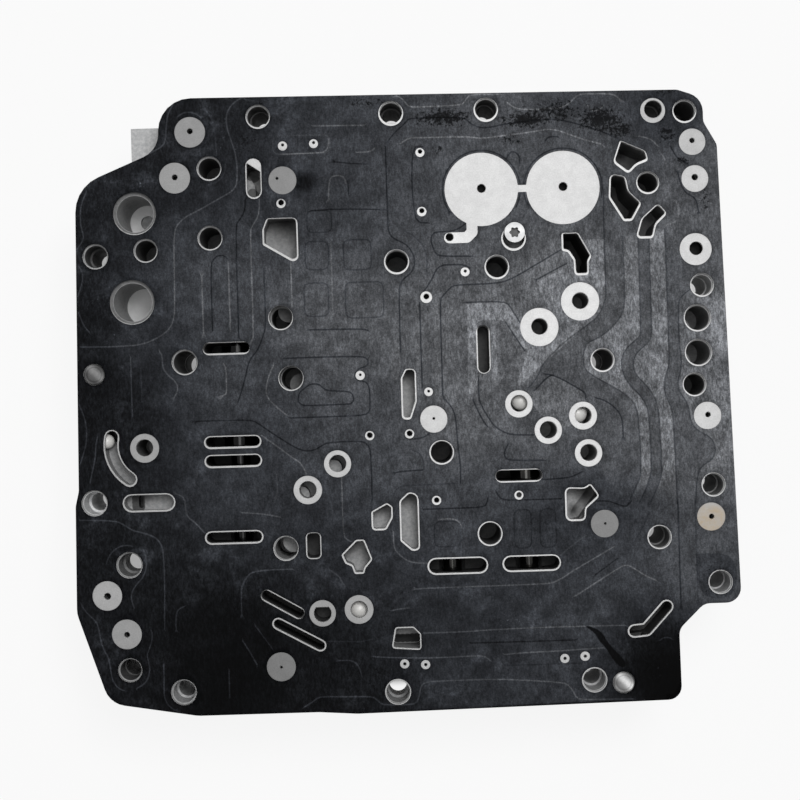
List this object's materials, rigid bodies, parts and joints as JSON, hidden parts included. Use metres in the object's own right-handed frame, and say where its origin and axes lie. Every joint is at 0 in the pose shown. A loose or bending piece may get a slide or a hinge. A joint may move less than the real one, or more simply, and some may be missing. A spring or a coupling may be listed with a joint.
{
  "type": "transmission valve body",
  "caption": "Aluminium valve body of an automatic transmission with a rubber-coated, ported steel separator plate, sprung spool valves, accumulators and solenoids.",
  "frame": {"origin": "centre of the plan outline, on the resting face of the lower casting", "axes": "+X right and +Y up as the plate is seen in the picture, +Z out of the plate"},
  "size_m": [0.2419, 0.2258, 0.064],
  "materials": {
    "cast_aluminium": "as cast, matt",
    "plate_steel": "rolled, satin",
    "coating_rubber": "worn matt black",
    "bright_steel": "ground, satin",
    "dark_steel": "phosphated",
    "spring_steel": "drawn wire",
    "spool_aluminium": "hard anodised",
    "nose_aluminium": "machined",
    "can_steel": "zinc plated",
    "cap_plastic": "moulded, matt",
    "o_ring_rubber": "smooth",
    "contact_brass": "plain",
    "ball_plastic": "smooth"
  },
  "bodies": {
    "valve_body": {"upper_body": "cast_aluminium", "lower_body": "cast_aluminium", "separator_plate": "plate_steel", "bonded_gasket": "coating_rubber", "middle_plate": "plate_steel", "plate_screw": "bright_steel", "locating_dowels": "bright_steel", "check_balls": "ball_plastic", "body_bolts": "dark_steel", "regulator_spring": "spring_steel", "regulator_plug": "bright_steel", "regulator_pin": "bright_steel", "shift_spring_left": "spring_steel", "shift_plug_left": "bright_steel", "shift_pin_left": "bright_steel", "shift_spring_right": "spring_steel", "shift_plug_right": "bright_steel", "shift_pin_right": "bright_steel", "clutch_spring": "spring_steel", "clutch_plug": "bright_steel", "clutch_pin": "bright_steel", "converter_spring": "spring_steel", "converter_plug": "bright_steel", "converter_pin": "bright_steel", "accumulator_spring_left": "spring_steel", "accumulator_spring_right": "spring_steel", "solenoid_can_1": "can_steel", "solenoid_nose_1": "nose_aluminium", "solenoid_cap_1": "cap_plastic", "solenoid_can_2": "can_steel", "solenoid_nose_2": "nose_aluminium", "solenoid_cap_2": "cap_plastic", "solenoid_can_3": "can_steel", "solenoid_nose_3": "nose_aluminium", "solenoid_cap_3": "cap_plastic", "solenoid_can_4": "can_steel", "solenoid_nose_4": "nose_aluminium", "solenoid_cap_4": "cap_plastic", "solenoid_can_5": "can_steel", "solenoid_nose_5": "nose_aluminium", "solenoid_cap_5": "cap_plastic", "solenoid_o_rings": "o_ring_rubber", "contact_blades": "contact_brass", "solenoid_retainer": "plate_steel", "retainer_bolts": "dark_steel"},
    "regulator_valve": {"regulator_spool": "spool_aluminium"},
    "shift_valve_left": {"shift_spool_left": "spool_aluminium"},
    "shift_valve_right": {"shift_spool_right": "spool_aluminium"},
    "clutch_valve": {"clutch_spool": "spool_aluminium"},
    "converter_valve": {"converter_spool": "spool_aluminium"},
    "accumulator_left": {"accumulator_piston_left": "spool_aluminium", "accumulator_seal_left": "o_ring_rubber"},
    "accumulator_right": {"accumulator_piston_right": "spool_aluminium", "accumulator_seal_right": "o_ring_rubber"}
  },
  "joints": [
    {"name": "regulator_valve_slide", "type": "slide", "parent": "valve_body", "child": "regulator_valve", "axis": [0, -1, 0], "range_m": [0, 0.008], "stiffness_N_per_m": 1500, "deforming": ["regulator_spring"]},
    {"name": "shift_valve_left_slide", "type": "slide", "parent": "valve_body", "child": "shift_valve_left", "axis": [0, -1, 0], "range_m": [0, 0.008], "stiffness_N_per_m": 1500, "deforming": ["shift_spring_left"]},
    {"name": "shift_valve_right_slide", "type": "slide", "parent": "valve_body", "child": "shift_valve_right", "axis": [0, -1, 0], "range_m": [0, 0.008], "stiffness_N_per_m": 1500, "deforming": ["shift_spring_right"]},
    {"name": "clutch_valve_slide", "type": "slide", "parent": "valve_body", "child": "clutch_valve", "axis": [0, 1, 0], "range_m": [0, 0.008], "stiffness_N_per_m": 1500, "deforming": ["clutch_spring"]},
    {"name": "converter_valve_slide", "type": "slide", "parent": "valve_body", "child": "converter_valve", "axis": [0, 1, 0], "range_m": [0, 0.008], "stiffness_N_per_m": 1500, "deforming": ["converter_spring"]},
    {"name": "accumulator_left_slide", "type": "slide", "parent": "valve_body", "child": "accumulator_left", "axis": [0, 0, -1], "range_m": [0, 0.01], "stiffness_N_per_m": 3000, "deforming": ["accumulator_spring_left"]},
    {"name": "accumulator_right_slide", "type": "slide", "parent": "valve_body", "child": "accumulator_right", "axis": [0, 0, -1], "range_m": [0, 0.01], "stiffness_N_per_m": 3000, "deforming": ["accumulator_spring_right"]}
  ]
}
